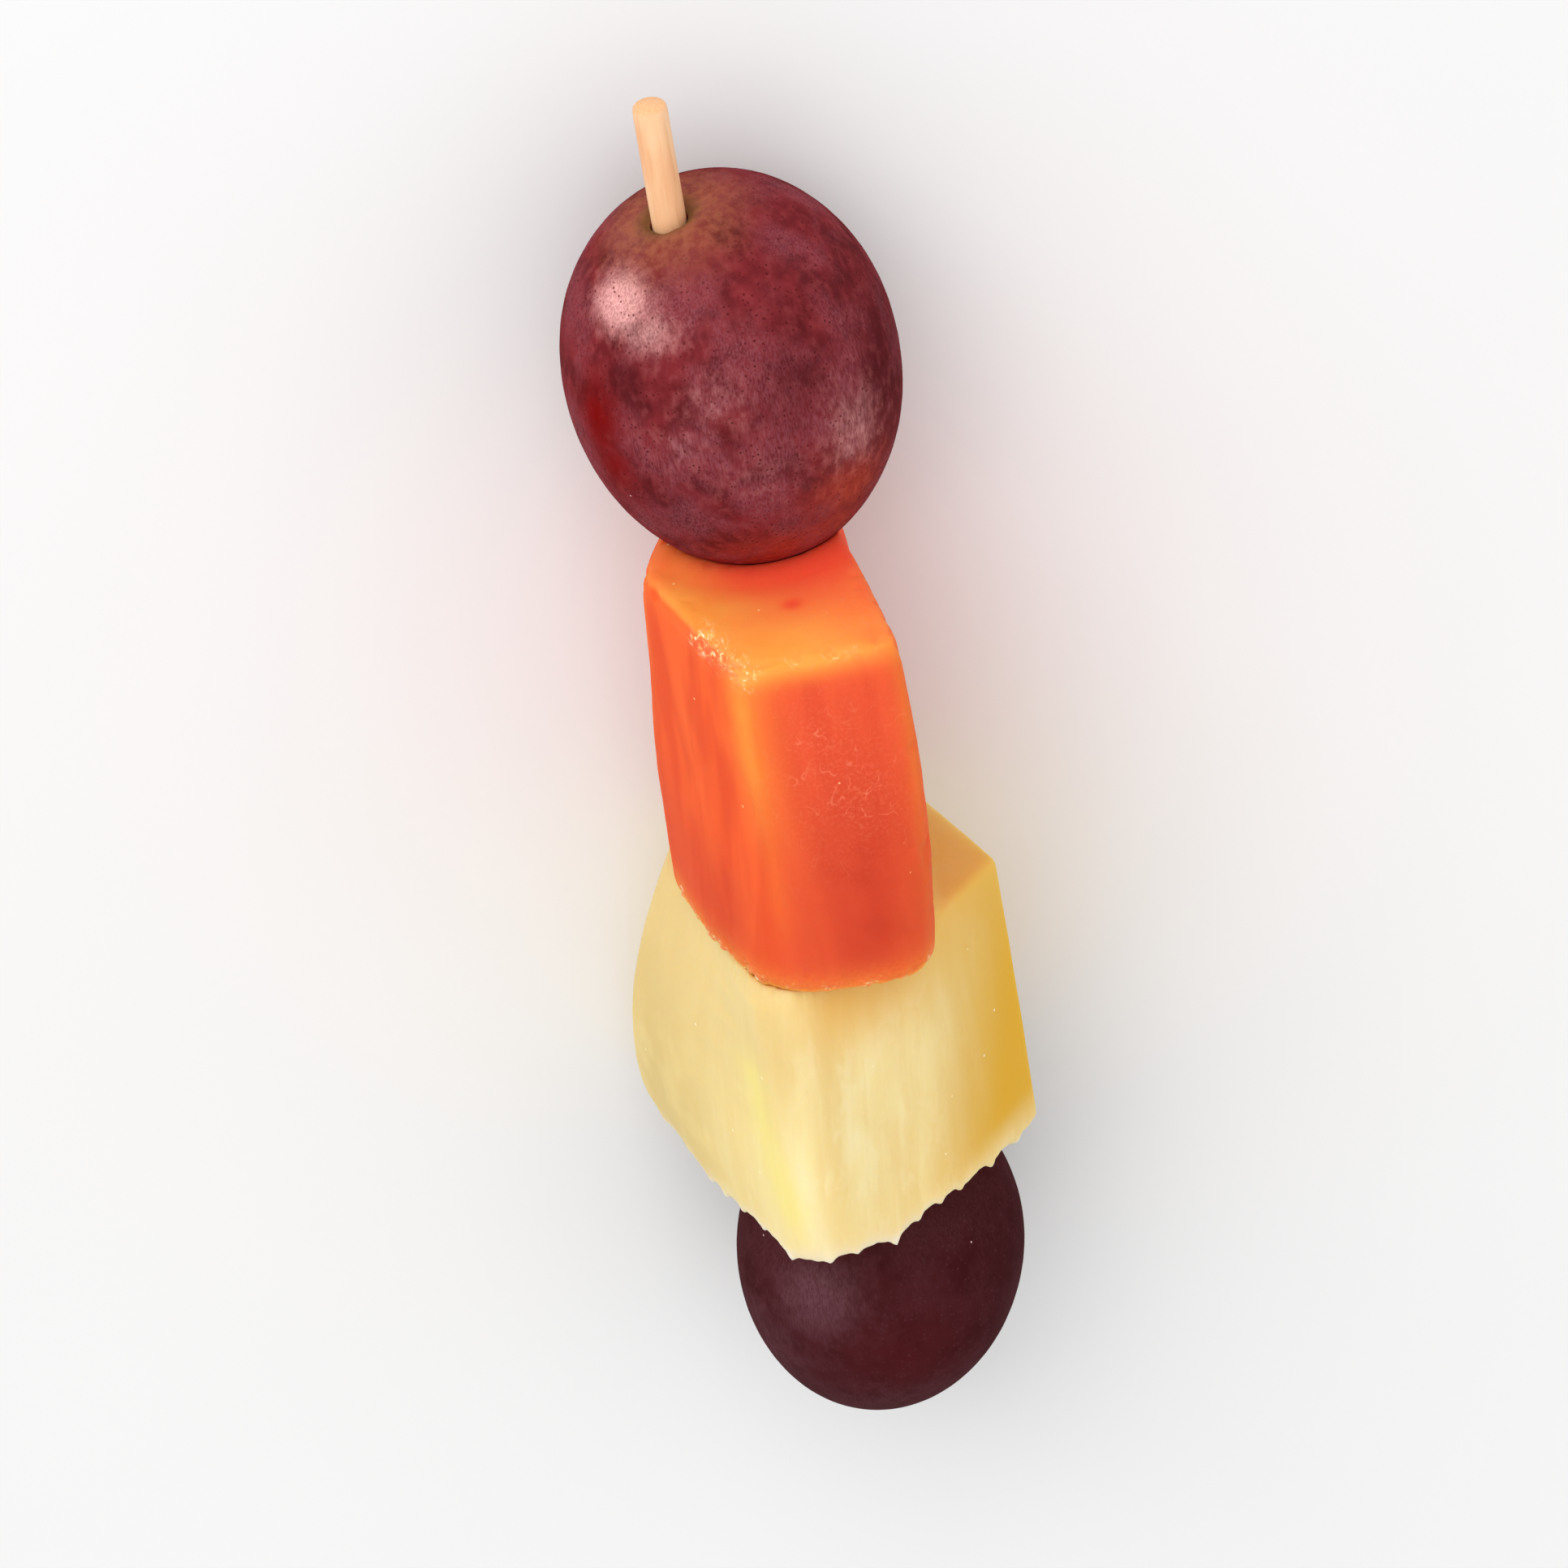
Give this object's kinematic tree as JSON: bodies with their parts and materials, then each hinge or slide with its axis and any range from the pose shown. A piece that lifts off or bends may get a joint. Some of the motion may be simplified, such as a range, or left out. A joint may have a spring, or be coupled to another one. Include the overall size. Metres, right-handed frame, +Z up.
{
  "type": "fruit skewer",
  "caption": "Fruit skewer lying on its back: a bamboo stick through an oval dark grape, a papaya block, a pineapple wedge and a smaller grape.",
  "frame": {"origin": "centre of the bounding box's bottom face, on the surface the skewer lies on", "axes": "+Y along the stick towards its free end, +Z up, away from the surface the skewer lies on, +X completes the right-handed frame"},
  "size_m": [0.0339, 0.1321, 0.0374],
  "materials": {
    "bamboo": "sanded, fine lengthwise grain",
    "grape_skin": "smooth skin with a faint bloom",
    "papaya_flesh": "moist cut flesh",
    "pineapple_flesh": "moist fibrous cut flesh"
  },
  "bodies": {
    "root": {"stick": "bamboo", "grape_top": "grape_skin", "papaya": "papaya_flesh", "pineapple": "pineapple_flesh", "grape_bottom": "grape_skin"}
  },
  "joints": []
}
